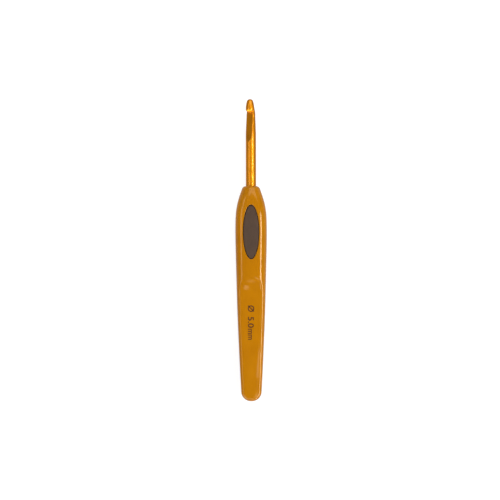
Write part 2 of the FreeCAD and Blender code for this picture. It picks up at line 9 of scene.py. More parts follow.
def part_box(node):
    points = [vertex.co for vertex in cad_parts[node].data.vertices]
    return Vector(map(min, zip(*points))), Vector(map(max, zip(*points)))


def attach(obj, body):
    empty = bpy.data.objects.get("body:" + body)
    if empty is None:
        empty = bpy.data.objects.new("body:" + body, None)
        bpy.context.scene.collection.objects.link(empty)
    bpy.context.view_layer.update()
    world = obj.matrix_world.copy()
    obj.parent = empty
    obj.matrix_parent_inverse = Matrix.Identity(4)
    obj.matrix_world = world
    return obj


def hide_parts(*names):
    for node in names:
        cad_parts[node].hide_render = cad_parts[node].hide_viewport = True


# Crochet hook with a moulded handle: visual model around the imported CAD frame.
# Shapes are worked out in millimetres and stored in metres. "Station" is the distance back from
# the handle's mouth. "Side" is +1 for the front half and -1 for the back half. "Inset" is how far
# a surface lies inside the handle's skin.

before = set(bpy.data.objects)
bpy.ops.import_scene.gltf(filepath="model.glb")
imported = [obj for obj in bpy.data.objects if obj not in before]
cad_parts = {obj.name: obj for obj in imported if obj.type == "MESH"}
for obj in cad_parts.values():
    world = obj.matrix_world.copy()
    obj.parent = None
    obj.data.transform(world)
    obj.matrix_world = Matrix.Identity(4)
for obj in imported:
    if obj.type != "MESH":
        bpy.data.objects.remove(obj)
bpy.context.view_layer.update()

MM = 0.001
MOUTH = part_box("front_shell")[1].y / MM
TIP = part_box("hook_shaft")[1].y / MM
TANG_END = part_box("hook_shaft")[0].y / MM

# ---------------------------------------------------------------- handle form

# station, half width, top, bottom
SECTIONS = np.array([
    (0.0, 3.95, 9.75, 1.85),
    (3.2, 5.1, 10.6, 1.0),
    (7.0, 6.33, 11.15, 0.4),
    (11.0, 7.2, 11.45, -0.05),
    (19.0, 7.74, 11.65, -0.25),
    (32.0, 7.62, 11.6, -0.25),
    (46.0, 7.29, 11.22, -0.25),
    (62.0, 6.84, 10.42, -0.25),
    (78.0, 6.2, 9.3, -0.25),
    (93.0, 5.48, 8.1, -0.25),
    (105.8, 4.78, 7.1, -0.25),
])
LENGTH = 105.8
MOUTH_ROUND = 1.25
TAIL_ROUND = 4.5
TAIL_EASE = 2.6
POWER_LENGTH = 14.0
AXIS = 5.8
BORE = 2.53
WALL = 1.4
CORE_END = 100.6
PARTING_BEND = 40.0
PARTING_TAIL = 3.5

REST_START = 51.6
REST_HEIGHT = 9.63
REST_FALL = 0.0535
REST_DISH = 40.0
REST_REACH = 9.0
REST_RAMP = 15.3
RAMP_SHARE = 0.985  # part of the ramp's radius that it may use, before it climbs straight on
RAMP_CLIMB = 8
# station, rounding of the thumb rest's edge
RIM_BLEND = np.array([
    (43, 0.4),
    (47, 0.9),
    (51, 1.5),
    (80, 1.4),
    (94, 2.6),
    (104, 2.2),
])
LAND_BLEND = 0.25
LAND_INSET = 0.8

OVAL_STATION = 22.5
OVAL_WIDTH = 7.9
OVAL_LENGTH = 26.5
OVAL_GAP = 0.12
RECESS = 0.15
FLANGE = 0.7
FLANGE_BED = 3.1


def natural_spline(knots, values):
    count = len(knots)
    gap = np.diff(knots)
    system = np.eye(count)
    right = np.zeros(count)
    for i in range(1, count - 1):
        system[i, i - 1 : i + 2] = gap[i - 1], 2 * (gap[i - 1] + gap[i]), gap[i]
        right[i] = 6 * (
            (values[i + 1] - values[i]) / gap[i] - (values[i] - values[i - 1]) / gap[i - 1]
        )
    bend = np.linalg.solve(system, right)

    def at(station):
        i = np.clip(np.searchsorted(knots, station, side="right") - 1, 0, count - 2)
        near = station - knots[i]
        far = knots[i + 1] - station
        ends = (bend[i] * far**3 + bend[i + 1] * near**3) / (6 * gap[i])
        left = (values[i] / gap[i] - bend[i] * gap[i] / 6) * far
        return ends + left + (values[i + 1] / gap[i] - bend[i + 1] * gap[i] / 6) * near

    return at


WIDTH_AT, TOP_AT, BOTTOM_AT = (natural_spline(SECTIONS[:, 0], SECTIONS[:, c]) for c in (1, 2, 3))


def soft_min(a, b, blend):
    share = np.maximum(blend - np.abs(a - b), 0) / blend
    return np.minimum(a, b) - share * share * blend / 4


def soft_max(a, b, blend):
    return -soft_min(-a, -b, blend)


def sink(past, radius):
    """How far a rounded end has drawn in, past its start."""
    share = np.clip(past / radius, 0, 1)
    return radius * (1 - np.sqrt(1 - share * share))


def section(station, inset):
    """Half width, half height, middle height and power of the handle's section."""
    lip = plan = side = 0.0
    if inset < WALL:
        lip = sink(MOUTH_ROUND - station, MOUTH_ROUND)
        plan = sink(station - LENGTH + TAIL_ROUND, TAIL_ROUND)
        side = sink(station - LENGTH + TAIL_EASE, TAIL_EASE)
    top = TOP_AT(station)
    bottom = BOTTOM_AT(station)
    half_width = WIDTH_AT(station) - lip - plan - inset
    half_height = (top - bottom) / 2 - lip - side - inset
    share = np.clip(station / POWER_LENGTH, 0, 1)
    return half_width, half_height, (top + bottom) / 2, 2 + share * share * (3 - 2 * share)


def rest_height(x, station):
    """Height of the thumb rest's surface: a dish along the handle with a ramp at its front."""
    # the dish is square to the sloping floor, so its height and its station settle together
    tilt = math.atan(REST_FALL)
    cup = REST_DISH - np.sqrt(REST_DISH**2 - np.clip(x, -REST_REACH, REST_REACH) ** 2)
    lift = cup
    for _ in range(4):
        along = (station - REST_START) * math.cos(tilt) - lift * math.sin(tilt)
        ahead = np.clip(-along, 0, None)
        radius = REST_RAMP - cup
        reach = np.clip(ahead, 0, radius * RAMP_SHARE)
        ramp = REST_RAMP - np.sqrt(radius**2 - reach**2)
        lift = np.where(ahead > 0, ramp + (ahead - reach) * RAMP_CLIMB, cup)
    return REST_HEIGHT + lift * math.cos(tilt) - along * math.sin(tilt)


def dress(x, station, z, side, inset):
    """Cuts the thumb rest into the front and the flat land into the back, both eased."""
    if side > 0:
        blend = np.interp(station, *RIM_BLEND.T)
        return soft_min(z, rest_height(x, station) - inset, blend)
    return soft_max(z, np.zeros_like(z) + inset * LAND_INSET, LAND_BLEND)


def skin_height(x, station, side, inset=0.0):
    half_width, half_height, middle, power = section(station, inset)
    reach = np.clip(1 - (np.abs(x) / half_width) ** power, 0, 1) ** (1 / power)
    return dress(x, station, middle + side * half_height * reach, side, inset)


def parting(station):
    fall = (AXIS - PARTING_TAIL) / (LENGTH - PARTING_BEND)
    return AXIS - np.clip(station - PARTING_BEND, 0, None) * fall


# ---------------------------------------------------------------- mesh helpers

COLUMNS = 97
DENSE = 700
MOUTH_ROWS = 9
BODY_ROWS = 300
TAIL_ROWS = 20
SEAM = 0.09
SEAM_STEPS = (0.0, 0.10, 0.24)
EDGE_ROUND = 0.28
EDGE_STEPS = (0.0, 0.03, 0.08, 0.15, 0.28, 0.5)
INNER_STEPS = (0.0, 0.3)
RING_SHARES = (0.12, 0.27, 0.45, 0.64, 0.83)
PATCH_FRONT, PATCH_BACK = 6.4, 39.4  # stations of the grid that the window's rings stand in for
PATCH_WIDTH = 6.0
BORE_EASE = 0.07
BORE_EASE_DEPTH = 0.12
PAD_TRIM = 0.12
PAD_EASE = 0.45
PAD_POINTS = 180
FLANGE_DROP = 0.02


def make_object(name, points, faces, sharp=None, normals=None):
    """A mesh object from millimetre points, with unused points left out."""
    used = np.unique(np.concatenate([np.ravel(f) for f in faces]))
    new_number = np.full(len(points), -1)
    new_number[used] = np.arange(len(used))
    mesh = bpy.data.meshes.new(name)
    numbered = [new_number[list(face)].tolist() for face in faces]
    mesh.from_pydata((points[used] * MM).tolist(), [], numbered)
    work = bmesh.new()
    work.from_mesh(mesh)
    bmesh.ops.recalc_face_normals(work, faces=work.faces)
    work.to_mesh(mesh)
    work.free()
    mesh.polygons.foreach_set("use_smooth", np.ones(len(mesh.polygons), bool))
    if sharp:
        mesh.set_sharp_from_angle(angle=math.radians(sharp))
    if normals is not None:
        mesh.normals_split_custom_set_from_vertices(normals[used].tolist())
    obj = bpy.data.objects.new(name, mesh)
    bpy.context.scene.collection.objects.link(obj)
    return obj


def strip(first, second, closed=False):
    """Quads between two runs of point numbers."""
    a, b = list(first), list(second)
    if closed:
        a, b = a + a[:1], b + b[:1]
    return [(a[i], a[i + 1], b[i + 1], b[i]) for i in range(len(a) - 1)]


def outline_rows(stations, side, inset):
    """Section curves from the right parting edge over to the left one, as (rows, columns, 3)."""
    s = stations[:, None]
    half_width, half_height, middle, power = section(s, inset)
    rise = (parting(s) - middle) * side
    across = half_width * (1 - np.abs(rise / half_height) ** power) ** (1 / power)
    start = np.arctan2(rise, across)
    angle = start + (math.pi - 2 * start) * np.linspace(0, 1, DENSE)
    cosine, sine = np.cos(angle), np.sin(angle)
    reach = (np.abs(cosine / half_width) ** power + np.abs(sine / half_height) ** power)
    reach = reach ** (-1 / power)
    x = reach * cosine
    z = dress(x, s, middle + side * reach * sine, side, inset)
    rows = np.zeros((len(stations), COLUMNS, 3))
    for i, station in enumerate(stations):
        run = np.hypot(np.diff(x[i]), np.diff(z[i]))
        run = np.concatenate([[0], np.cumsum(run)])
        edge = np.array(SEAM_STEPS) * min(1, run[-1] / 4)
        middle_places = np.linspace(edge[-1], run[-1] - edge[-1], COLUMNS - 2 * (len(edge) - 1))
        places = np.concatenate([edge[:-1], middle_places, run[-1] - edge[-2::-1]])
        rows[i, :, 0] = np.interp(places, run, x[i])
        rows[i, :, 1] = MOUTH - station
        rows[i, :, 2] = np.interp(places, run, z[i])
    if inset == 0:
        rows[:, 0, 0] -= np.minimum(SEAM, np.abs(rows[:, 0, 0]) / 3)
        rows[:, -1, 0] += np.minimum(SEAM, np.abs(rows[:, -1, 0]) / 3)
    return rows


def oval_points(angles, margin):
    """Plan points (x, station) on the oval, set out from it by margin, as two arrays."""
    half_width = OVAL_WIDTH / 2
    half_length = OVAL_LENGTH / 2
    across, along = np.sin(angles), np.cos(angles)
    normal = np.stack([across / half_width, along / half_length])
    normal /= np.linalg.norm(normal, axis=0)
    x = half_width * across + margin * normal[0]
    return x, OVAL_STATION + half_length * along + margin * normal[1]


def window_sheet(rows, stations, side, inset, numbers, start, patch, angles):
    """Rings from a window's edge out to the grid around it. Returns points, faces, edge ring."""
    first, last, left, right = patch
    around = [(first, j) for j in range(left, right)]
    around += [(i, right) for i in range(first, last)]
    around += [(last, j) for j in range(right, left, -1)]
    around += [(i, left) for i in range(last, first, -1)]
    border = np.array([numbers[i, j] for i, j in around])
    edge_x = np.array([rows[i, j, 0] for i, j in around])
    edge_s = np.array([stations[i] for i, j in around])
    if angles is None:
        angles = np.arctan2(edge_x / OVAL_WIDTH, (edge_s - OVAL_STATION) / OVAL_LENGTH)
    points = []
    steps = EDGE_STEPS if inset == 0 else INNER_STEPS
    for out in steps:
        x, s = oval_points(angles, OVAL_GAP + out)
        drop = EDGE_ROUND - math.sqrt(max(0, EDGE_ROUND**2 - max(0, EDGE_ROUND - out) ** 2))
        points.append((x, s, side * drop if inset == 0 else 0))
    near_x, near_s = points[-1][:2]
    for share in RING_SHARES:
        x = near_x + (edge_x - near_x) * share
        s = near_s + (edge_s - near_s) * share
        points.append((x, s, 0))
    rings = []
    made = []
    for x, s, drop in points:
        z = skin_height(x, s, side, inset) - drop
        made.append(np.stack([x, MOUTH - s, z], axis=1))
        rings.append(start + np.arange(len(x)))
        start += len(x)
    faces = []
    for i in range(len(rings) - 1):
        faces += strip(rings[i], rings[i + 1], closed=True)
    faces += strip(rings[-1], border, closed=True)
    return np.concatenate(made), faces, rings[0], angles


def make_shell(name, side):
    """Half of the handle's skin: outer surface, inner surface, window, mouth and parting edge."""
    turn = np.linspace(0, math.pi / 2, MOUTH_ROWS)
    tail_turn = np.linspace(0, math.pi / 2, TAIL_ROWS)[1:]
    body = np.linspace(MOUTH_ROUND, LENGTH - TAIL_ROUND, BODY_ROWS)[1:]
    tail = LENGTH - TAIL_ROUND + TAIL_ROUND * np.sin(tail_turn)
    stations = np.concatenate([MOUTH_ROUND * (1 - np.cos(turn)), body, tail])
    inner_stations = WALL + stations / LENGTH * (CORE_END - WALL)
    points = []
    faces = []
    grids = []
    windows = []
    count = 0
    angles = None
    patch = None
    for inset, row_stations in ((0.0, stations), (WALL, inner_stations)):
        rows = outline_rows(row_stations, side, inset)
        if patch is None:
            first, last = np.searchsorted(stations, (PATCH_FRONT, PATCH_BACK)).tolist()
            left = int(np.argmin(np.abs(rows[(first + last) // 2, :, 0] - PATCH_WIDTH)))
            patch = (first, last, left, COLUMNS - 1 - left)
        numbers = count + np.arange(rows.shape[0] * COLUMNS).reshape(-1, COLUMNS)
        points.append(rows.reshape(-1, 3))
        count += rows.shape[0] * COLUMNS
        more, ring_faces, ring, angles = window_sheet(
            rows, row_stations, side, inset, numbers, count, patch, angles
        )
        points.append(more)
        count += len(more)
        faces += ring_faces
        for i in range(len(numbers) - 1):
            for j in range(COLUMNS - 1):
                if not (patch[0] <= i < patch[1] and patch[2] <= j < patch[3]):
                    near, far = numbers[i, j : j + 2], numbers[i + 1, j : j + 2]
                    faces.append((*near, *far[::-1]))
        grids.append(numbers)
        windows.append(ring)
    outer, inner = grids
    faces += strip(windows[0], windows[1], closed=True)

    rim = np.linspace(0, math.pi, COLUMNS)
    hole = []
    for radius, depth in ((BORE + BORE_EASE, 0.0), (BORE, BORE_EASE_DEPTH), (BORE, WALL)):
        place = np.full(COLUMNS, MOUTH - depth)
        ring = np.stack([radius * np.cos(rim), place, AXIS + side * radius * np.sin(rim)], axis=1)
        points.append(ring)
        hole.append(count + np.arange(COLUMNS))
        count += COLUMNS
    for first, second in zip([outer[0], *hole], [*hole, inner[0]]):
        faces += strip(first, second)

    ends = []
    for grid, station in ((outer, LENGTH), (inner, CORE_END)):
        points.append(np.array([[0.0, MOUTH - station, float(parting(np.array(station)))]]))
        ends.append(count)
        faces += [(grid[-1, j], grid[-1, j + 1], count) for j in range(COLUMNS - 1)]
        count += 1
    for j in (0, -1):
        faces += strip(outer[:, j], inner[:, j])
        faces.append((outer[0, j], hole[0][j], hole[1][j], hole[2][j], inner[0, j]))
        faces.append((outer[-1, j], ends[0], ends[1], inner[-1, j]))
    return make_object(name, np.concatenate(points), faces, sharp=38)


def make_inlay(name, side):
    """A soft oval pad with an eased edge, on a flange that sits under the shell."""
    angles = np.linspace(0, 2 * math.pi, PAD_POINTS + 1)[:-1]
    rings = []
    for share in np.linspace(0.04, 1, 18)[:-1]:
        x, s = oval_points(angles, -PAD_TRIM - PAD_EASE)
        x, s = x * share, OVAL_STATION + (s - OVAL_STATION) * (0.55 + 0.45 * share) * share
        rings.append((x, s, skin_height(x, s, side, RECESS)))
    for part in np.linspace(0, math.pi / 2, 8):
        x, s = oval_points(angles, -PAD_TRIM - PAD_EASE * (1 - math.sin(part)))
        z = skin_height(x, s, side, RECESS) - side * PAD_EASE * (1 - math.cos(part))
        rings.append((x, s, z))
    for margin in (-PAD_TRIM, FLANGE):
        x, s = oval_points(angles, margin)
        rings.append((x, s, skin_height(x, s, side, WALL + FLANGE_DROP)))
    bed = np.full(len(x), AXIS + side * FLANGE_BED)
    rings.append((x, s, bed))
    points = [np.stack([x, MOUTH - s, z], axis=1) for x, s, z in rings]
    top = skin_height(np.array(0.0), np.array(OVAL_STATION), side, RECESS)
    points.append(np.array([[0, MOUTH - OVAL_STATION, float(top)]]))
    points.append(np.array([[0, MOUTH - OVAL_STATION, bed[0]]]))
    count = len(angles)
    numbers = [i * count + np.arange(count) for i in range(len(rings))]
    faces = []
    for i in range(len(numbers) - 1):
        faces += strip(numbers[i], numbers[i + 1], closed=True)
    crown, foot = len(rings) * count, len(rings) * count + 1
    faces += [(numbers[0][i], numbers[0][(i + 1) % count], crown) for i in range(count)]
    faces += [(numbers[-1][i], numbers[-1][(i + 1) % count], foot) for i in range(count)]
    return make_object(name, np.concatenate(points), faces, sharp=40)


# ---------------------------------------------------------------- shaft

SHANK = 2.5
NECK = 2.22
NECK_FRONT = 9.0
NECK_BACK = 17.0
BACK_START = 8.0
BACK_END = 2.5
BACK_CURVE = 14.2
HEAD = 2.09
HEAD_LIFT = 0.62
HEAD_WIDEST = 4.9
NOSE = 1.65
HEEL = 1.35
HEAD_SEAT = 4.2
SEAT_OVERLAP = 1.0
SEAT_BLEND = 0.3
THROAT_TURN = math.radians(38)
THROAT_CORNER = 5.85
THROAT_FLOOR = 0.75
THROAT_RUN = 11.6
THROAT_BLEND = 0.8
THROAT_RISE = 0.75
RUNOUT = 7.5
LIP_LEAN = 0.6
LIP_TOP = 4.0
TANG = 2.3
TANG_EASE = 0.6
FLAT_FRONT = 9.0
FLAT_LENGTH = 12.0
FLAT_HEIGHT = 1.8
GROOVES = 3
GROOVE_FRONT = 26.0
GROOVE_PITCH = 5.0
GROOVE_WIDTH = 1.6
GROOVE_DEPTH = 0.45
POLISH = 0.3
BLEND = 0.25
GRAIN = 0.1  # spacing of the shaft's grid
FINE_REACH = 20.0  # from the tip, where the grid is fine
ROD_SLICES = 150


def head_field(x, y, z):
    """Distance from the head: nose, ogive and rounded heel about the head's own axis."""
    r = np.hypot(x, z - HEAD_LIFT)
    t = y - (TIP - HEAD_WIDEST)
    reach = HEAD_WIDEST - NOSE
    ogive = (reach**2 + HEAD**2 - NOSE**2) / (2 * (HEAD - NOSE))
    centre = HEAD - ogive
    front = np.hypot(r - centre, t) - ogive
    nose = np.hypot(r, t - reach) - NOSE
    beyond = np.arctan2(t, r - centre) > math.atan2(reach, -centre)
    ahead = np.where(beyond, nose, front)
    behind = np.where(r > HEAD - HEEL, np.hypot(r - HEAD + HEEL, t), -t) - HEEL
    return np.where(t >= 0, ahead, behind)


def rod_field(x, y, z):
    """Distance from the tang, shank, neck and the long curve of the back."""
    r = np.hypot(x, z)
    neck = np.clip((y - (TIP - NECK_BACK)) / (NECK_BACK - NECK_FRONT), 0, 1)
    radius = np.where(y < MOUTH, TANG, SHANK + (NECK - SHANK) * neck)
    straight = r - radius
    t = y - (TIP - BACK_START)
    curved = np.hypot(r - (NECK - BACK_CURVE), t) - BACK_CURVE
    body = np.where(t > 0, curved, straight)
    body = np.maximum(body, y - (TIP - BACK_END))
    body = soft_max(body, TANG_END - y, TANG_EASE)
    back = MOUTH - FLAT_FRONT - FLAT_LENGTH
    flats = np.maximum(FLAT_HEIGHT - np.abs(z), np.maximum(y - (MOUTH - FLAT_FRONT), back - y))
    body = np.maximum(body, -flats)
    for i in range(GROOVES):
        middle = MOUTH - GROOVE_FRONT - i * GROOVE_PITCH - GROOVE_WIDTH / 2
        groove = np.maximum(TANG - GROOVE_DEPTH - r, np.abs(y - middle) - GROOVE_WIDTH / 2)
        body = np.maximum(body, -groove)
    seat = np.maximum(y - (TIP - HEAD_SEAT), (TIP - THROAT_CORNER - SEAT_OVERLAP) - y)
    seat = np.maximum(seat, THROAT_FLOOR - z)
    return soft_max(body, -seat, SEAT_BLEND)


def throat_field(y, z):
    """Distance from the throat: sloping floor, curved run-out and the wall under the lip."""
    corner = TIP - THROAT_CORNER
    slope = math.atan2(THROAT_RISE, THROAT_RUN)
    end_y, end_z = corner - THROAT_RUN, THROAT_FLOOR + THROAT_RISE
    floor = (corner - y) * math.sin(slope) - (z - THROAT_FLOOR) * math.cos(slope)
    centre_y = end_y + math.sin(slope) * RUNOUT
    centre_z = end_z + math.cos(slope) * RUNOUT
    runout = np.hypot(y - centre_y, z - centre_z) - RUNOUT
    before = (y - end_y) * math.cos(slope) - (z - end_z) * math.sin(slope) < 0
    floor = np.where(before, runout, floor)
    lean = math.atan2(LIP_LEAN, LIP_TOP - THROAT_FLOOR)
    wall = (y - corner) * math.cos(lean) + (z - THROAT_FLOOR) * math.sin(lean)
    return soft_max(floor, wall, THROAT_BLEND)


def shaft_field(p):
    x, y, z = p
    body = soft_min(rod_field(x, y, z), head_field(x, y, z), BLEND)
    return soft_max(body, -throat_field(y, z), POLISH)


def gradient(p, step=0.004):
    """Slopes of the shaft's field at points p, and how steep it is there."""
    slopes = []
    for axis in range(3):
        offset = np.zeros((3, 1))
        offset[axis] = step
        slopes.append(shaft_field(p + offset) - shaft_field(p - offset))
    slopes = np.stack(slopes) / (2 * step)
    return slopes, np.linalg.norm(slopes, axis=0) + 1e-9


def surface_of(field, axes):
    """Points and quads of the surface where the field is zero, one point in each grid cell."""
    values = field(np.meshgrid(*axes, indexing="ij"))
    inside = values < 0
    shape = [len(a) - 1 for a in axes]
    corners = [(i, j, k) for i in (0, 1) for j in (0, 1) for k in (0, 1)]
    count = np.zeros(shape, int)
    for i, j, k in corners:
        count += inside[i : i + shape[0], j : j + shape[1], k : k + shape[2]]
    cells = np.argwhere((count > 0) & (count < 8))
    number = np.full(shape, -1)
    number[tuple(cells.T)] = np.arange(len(cells))
    total = np.zeros((len(cells), 3))
    hits = np.zeros(len(cells))
    for a in corners:
        for axis in range(3):
            if a[axis]:
                continue
            b = list(a)
            b[axis] = 1
            first = cells + np.array(a)
            second = cells + np.array(b)
            low = values[tuple(first.T)]
            high = values[tuple(second.T)]
            cross = (low < 0) != (high < 0)
            share = np.where(cross, low / np.where(cross, low - high, 1), 0)
            for c in range(3):
                start, end = axes[c][first[:, c]], axes[c][second[:, c]]
                total[:, c] += np.where(cross, start + (end - start) * share, 0)
            hits += cross
    faces = []
    for axis in range(3):
        others = [c for c in range(3) if c != axis]
        low = np.take(inside, range(shape[axis]), axis)
        high = np.take(inside, range(1, shape[axis] + 1), axis)
        edges = np.argwhere(low != high)
        quad = []
        for du, dv in ((0, 0), (1, 0), (1, 1), (0, 1)):
            cell = edges.copy()
            cell[:, others[0]] -= du
            cell[:, others[1]] -= dv
            quad.append(number[tuple(cell.T)])
        faces.append(np.stack(quad, axis=1))
    return total / hits[:, None], np.concatenate(faces)


def make_shaft(name):
    """The whole shaft as one surface, settled onto its field and turned to the throat's angle."""
    # the small shifts keep the grid off the surface's flats and its planes of symmetry
    across = np.arange(-2.75, 2.75 + GRAIN, GRAIN) + 0.013
    upward = np.arange(-2.75, 2.95 + GRAIN, GRAIN) + 0.007
    fine = np.arange(TIP - FINE_REACH, TIP + 0.3, GRAIN) + 0.011
    coarse = np.linspace(TANG_END - 0.5, fine[0], ROD_SLICES)[:-1]
    points, faces = surface_of(shaft_field, [across, np.concatenate([coarse, fine]), upward])
    p = points.T
    for _ in range(5):
        slopes, length = gradient(p)
        move = shaft_field(p) / length
        p = p - slopes / length * np.clip(move, -0.05, 0.05)
    slopes, length = gradient(p)
    cosine, sine = math.cos(THROAT_TURN), math.sin(THROAT_TURN)
    turn = np.array([[cosine, 0, -sine], [0, 1, 0], [sine, 0, cosine]])
    placed = (turn @ p).T + np.array([0, 0, AXIS])
    normals = (turn @ (slopes / length)).T
    return make_object(name, placed, faces, normals=normals)


# ---------------------------------------------------------------- size mark

MARK_HEIGHT = 3.0
MARK_DEPTH = 0.02
MARK_WEIGHT = 0.05
MARK_SHIFT = -0.1
MARK_WORDS = (("5.0", 64.2, 69.6), ("mm", 70.1, 75.5))
SIGN_STATION = 60.2
SIGN_RADIUS = 1.35
SIGN_REACH = 2.05
STROKE = 0.5
SLASH_WIDTH = 0.7  # of the ring's stroke
SLASH_DEPTH = 1.3  # of the ring's depth
LONG_EDGE = 0.5  # longer edges are cut up to follow the floor
FONT_SCALE = 1.36  # font size for digits of unit height


def word_mesh(word, start, end):
    """A word in the built-in font, stretched to run from start to end, with its foot at zero."""
    font = bpy.data.curves.new("mark_text", "FONT")
    font.body = word
    font.size = MARK_HEIGHT * FONT_SCALE
    font.extrude = MARK_DEPTH
    font.offset = MARK_WEIGHT
    font.resolution_u = 6
    text = bpy.data.objects.new("mark_text", font)
    bpy.context.scene.collection.objects.link(text)
    bpy.context.view_layer.update()
    mesh = bpy.data.meshes.new_from_object(text)
    bpy.data.objects.remove(text)
    first = min(v.co.x for v in mesh.vertices)
    last = max(v.co.x for v in mesh.vertices)
    for v in mesh.vertices:
        v.co.x = start + (v.co.x - first) * (end - start) / (last - first)
    return mesh


def slab(rails, depth, closed):
    """A flat stroke between two rails of plan points, as a closed mesh."""
    count = len(rails[0])
    points = [(x, y, z) for z in (-depth, depth) for rail in rails for x, y in rail]
    low, low_far, high, high_far = (range(k * count, (k + 1) * count) for k in range(4))
    faces = []
    for first, second in ((low, low_far), (low_far, high_far), (high_far, high), (high, low)):
        faces += strip(first, second, closed)
    if not closed:
        ends = list(zip(low, low_far, high_far, high))
        faces += [ends[0], ends[-1]]
    mesh = bpy.data.meshes.new("mark_stroke")
    mesh.from_pydata(points, [], faces)
    return mesh


def sign_meshes():
    """A ring with a slash through it, the plain sign for a diameter."""
    turns = np.linspace(0, 2 * math.pi, 49)[:-1]
    rings = []
    for radius in (SIGN_RADIUS - STROKE / 2, SIGN_RADIUS + STROKE / 2):
        ring = (SIGN_STATION + radius * np.cos(turns), MARK_HEIGHT / 2 + radius * np.sin(turns))
        rings.append(list(zip(*ring)))
    reach = np.linspace(-SIGN_REACH, SIGN_REACH, 9) * math.sqrt(0.5)
    edge = STROKE * SLASH_WIDTH / 2
    slash = []
    for offset in (-edge, edge):
        slash.append([(SIGN_STATION + t + offset, MARK_HEIGHT / 2 + t - offset) for t in reach])
    return [slab(rings, MARK_DEPTH, True), slab(slash, MARK_DEPTH * SLASH_DEPTH, False)]


def make_mark(name):
    """A plain printed size that follows the thumb rest's floor and reads towards the tail."""
    work = bmesh.new()
    for mesh in [*sign_meshes(), *(word_mesh(*word) for word in MARK_WORDS)]:
        work.from_mesh(mesh)
    bmesh.ops.remove_doubles(work, verts=work.verts, dist=0.0005)
    bmesh.ops.triangulate(work, faces=work.faces)
    long_edges = [edge for edge in work.edges if edge.calc_length() > LONG_EDGE]
    bmesh.ops.subdivide_edges(work, edges=long_edges, cuts=3)
    bmesh.ops.triangulate(work, faces=work.faces)
    for v in work.verts:
        station, height, depth = v.co
        x = height - MARK_HEIGHT / 2 + MARK_SHIFT
        floor = float(rest_height(np.array(x), np.array(station)))
        v.co = Vector((x, MOUTH - station, floor + depth + MARK_DEPTH / 2)) * MM
    bmesh.ops.recalc_face_normals(work, faces=work.faces)
    mesh = bpy.data.meshes.new(name)
    work.to_mesh(mesh)
    work.free()
    obj = bpy.data.objects.new(name, mesh)
    bpy.context.scene.collection.objects.link(obj)
    return obj


# ---------------------------------------------------------------- materials


class Nodes:
    """Short calls to build a node material."""

    def __init__(self, name):
        self.material = bpy.data.materials.new(name)
        self.material.use_nodes = True
        self.tree = self.material.node_tree
        self.shader = self.tree.nodes["Principled BSDF"]
        self.place = self.add("ShaderNodeTexCoord").outputs["Object"]

    def add(self, kind, **settings):
        node = self.tree.nodes.new(kind)
        for key, value in settings.items():
            setattr(node, key, value)
        return node

    def link(self, source, target):
        self.tree.links.new(source, target)

    def stretched(self, x, y, z):
        """Object coordinates scaled along each axis."""
        node = self.add("ShaderNodeMapping")
        node.inputs["Scale"].default_value = (x, y, z)
        self.link(self.place, node.inputs["Vector"])
        return node.outputs["Vector"]

    def noise(self, where, scale, detail=2.0, rough=0.5):
        node = self.add("ShaderNodeTexNoise")
        node.inputs["Scale"].default_value = scale
        node.inputs["Detail"].default_value = detail
        node.inputs["Roughness"].default_value = rough
        self.link(where, node.inputs["Vector"])
        return node.outputs["Fac"]

    def ramp(self, source, low, high, from_low=0.0, from_high=1.0):
        node = self.add("ShaderNodeMapRange")
        node.inputs["From Min"].default_value = from_low
        node.inputs["From Max"].default_value = from_high
        node.inputs["To Min"].default_value = low
        node.inputs["To Max"].default_value = high
        self.link(source, node.inputs["Value"])
        return node.outputs["Result"]

    def math(self, kind, first, second):
        node = self.add("ShaderNodeMath", operation=kind)
        for socket, value in zip(node.inputs, (first, second)):
            if isinstance(value, (int, float)):
                socket.default_value = value
            else:
                self.link(value, socket)
        return node.outputs[0]

    def mix(self, share, first, second):
        node = self.add("ShaderNodeMix", data_type="RGBA")
        self.link(share, node.inputs["Factor"])
        colours = [s for s in node.inputs if s.type == "RGBA"]
        for socket, value in zip(colours, (first, second)):
            if isinstance(value, tuple):
                socket.default_value = (*value, 1.0)
            else:
                self.link(value, socket)
        return [s for s in node.outputs if s.type == "RGBA"][0]

    def bump(self, height, strength, distance, below=None):
        node = self.add("ShaderNodeBump")
        node.inputs["Strength"].default_value = strength
        node.inputs["Distance"].default_value = distance
        self.link(height, node.inputs["Height"])
        if below is not None:
            self.link(below, node.inputs["Normal"])
        return node.outputs["Normal"]

    def set(self, **values):
        """Sets the shader's sockets, with spaces in their names as underscores."""
        for key, value in values.items():
            socket = self.shader.inputs[key.replace("_", " ")]
            if isinstance(value, bpy.types.NodeSocket):
                self.link(value, socket)
            elif isinstance(value, tuple):
                socket.default_value = (*value, 1.0)
            else:
                socket.default_value = value


def anodised():
    n = Nodes("anodised_gold")
    lines = n.noise(n.stretched(1, 0.012, 1), 9000, 3)
    cloud = n.noise(n.place, 260, 3)
    fine = n.noise(n.place, 5200, 2)
    n.set(Metallic=1.0)
    tone = n.ramp(cloud, 0, 1, 0.3, 0.7)
    n.set(Base_Color=n.mix(tone, (0.86, 0.305, 0.003), (0.94, 0.345, 0.006)))
    rough = n.math("ADD", n.ramp(lines, 0.34, 0.44), n.ramp(cloud, 0.0, 0.05))
    n.set(Roughness=n.math("ADD", rough, n.ramp(fine, 0.0, 0.03)))
    n.set(Specular_Tint=(1.0, 0.72, 0.35), Coat_Weight=0.5, Coat_Roughness=0.14)
    n.set(Normal=n.bump(fine, 0.10, 0.00001, n.bump(lines, 0.08, 0.00001)))
    return n.material


